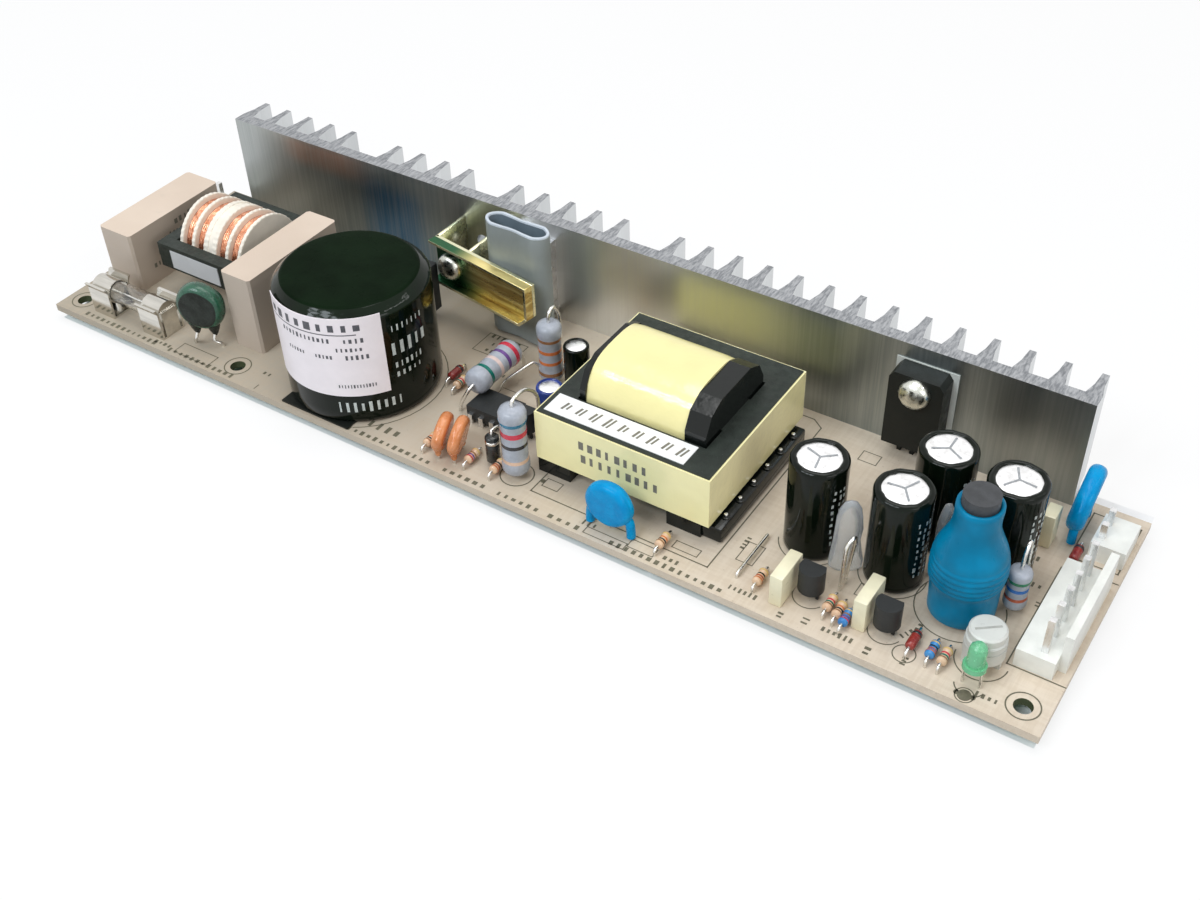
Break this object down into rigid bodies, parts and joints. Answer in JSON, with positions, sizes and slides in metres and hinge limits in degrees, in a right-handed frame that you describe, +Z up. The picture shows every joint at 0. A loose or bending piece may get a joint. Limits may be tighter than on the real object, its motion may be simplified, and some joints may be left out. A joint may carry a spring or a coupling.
{
  "type": "open frame power supply",
  "caption": "Long open frame mains power supply: filter, transformer and output parts on a board with a finned heatsink along one edge.",
  "frame": {"origin": "centre of the whole unit's footprint, level with the soldered lead tips it stands on", "axes": "+X along the board to the output end, +Y to the heatsink, +Z up"},
  "size_m": [0.222, 0.0616, 0.0301],
  "materials": {
    "board": "semi-matt paper laminate",
    "sink": "brushed along its length",
    "steel": "plain",
    "tin": "tinned",
    "solder": "soldered",
    "box_beige": "satin",
    "ferrite": "matt",
    "spool_cream": "matt",
    "copper": "enamelled copper wire",
    "paper_grey": "plain",
    "glass": "clear",
    "nickel": "nickel plated",
    "disc_dark": "lacquered",
    "sleeve_black": "shrink sleeve",
    "sleeve_blue": "shrink sleeve",
    "label_pale": "plain, print left out",
    "black_plastic": "moulded",
    "nylon_white": "moulded",
    "silicone_grey": "matt",
    "aluminium": "machined",
    "zinc_yellow": "yellow passivated zinc",
    "resistor_body": "coated, colour bands",
    "resistor_small": "lacquered, colour bands",
    "diode_red": "glass body",
    "disc_orange": "lacquered",
    "disc_blue": "lacquered",
    "film_cream": "moulded",
    "tape_yellow": "polyester tape",
    "paper_white": "plain, print left out",
    "bobbin_black": "moulded",
    "can_top": "scored",
    "staking": "cured compound",
    "trimmer_white": "moulded",
    "knob_white": "moulded",
    "lamp_green": "tinted"
  },
  "bodies": {
    "supply": {"circuit_board": "board", "solder_joints": "solder", "heatsink": "sink", "heatsink_pins": "steel", "left_box_capacitor": "box_beige", "right_box_capacitor": "box_beige", "choke_core": "ferrite", "choke_spool": "spool_cream", "choke_windings": "copper", "choke_label": "paper_grey", "fuse_glass": "glass", "fuse_caps": "nickel", "fuse_wire": "tin", "fuse_clips": "nickel", "thermistor": "disc_dark", "bulk_capacitor": "sleeve_black", "bulk_capacitor_pad": "black_plastic", "bulk_capacitor_label": "label_pale", "bridge_rectifier": "black_plastic", "input_connector": "nylon_white", "input_connector_pins": "tin", "transistor_sleeve": "silicone_grey", "switching_transistor": "black_plastic", "transistor_block": "aluminium", "clamp_bracket": "zinc_yellow", "clamp_screw": "steel", "control_package": "black_plastic", "control_package_pins": "tin", "power_resistors": "resistor_body", "power_resistor_leads": "tin", "small_resistors": "resistor_small", "small_diodes": "diode_red", "small_part_leads": "tin", "orange_disc_capacitors": "disc_orange", "blue_disc_capacitors": "disc_blue", "small_electrolytics": "sleeve_black", "small_transistors": "black_plastic", "film_capacitors": "film_cream", "transformer_core": "ferrite", "transformer_tape": "tape_yellow", "transformer_bobbin": "bobbin_black", "transformer_winding": "tape_yellow", "transformer_label": "paper_white", "transformer_pins": "tin", "output_rectifier": "black_plastic", "rectifier_pad": "silicone_grey", "rectifier_screw": "steel", "output_capacitors": "sleeve_black", "output_capacitor_tops": "can_top", "rod_core": "ferrite", "rod_winding": "copper", "rod_sleeve": "sleeve_blue", "staking_lumps": "staking", "wire_links": "tin", "trimmer_base": "trimmer_white", "indicator_lamp": "lamp_green", "indicator_leads": "tin", "output_connectors": "nylon_white", "output_connector_pins": "tin"},
    "knob": {"trimmer_knob": "knob_white"}
  },
  "joints": [
    {"name": "trimmer_turn", "type": "hinge", "parent": "supply", "child": "knob", "pos_m": [0.0977, -0.0209, 0.0082], "axis": [0, 0, 1], "range_deg": [-130, 130]}
  ]
}
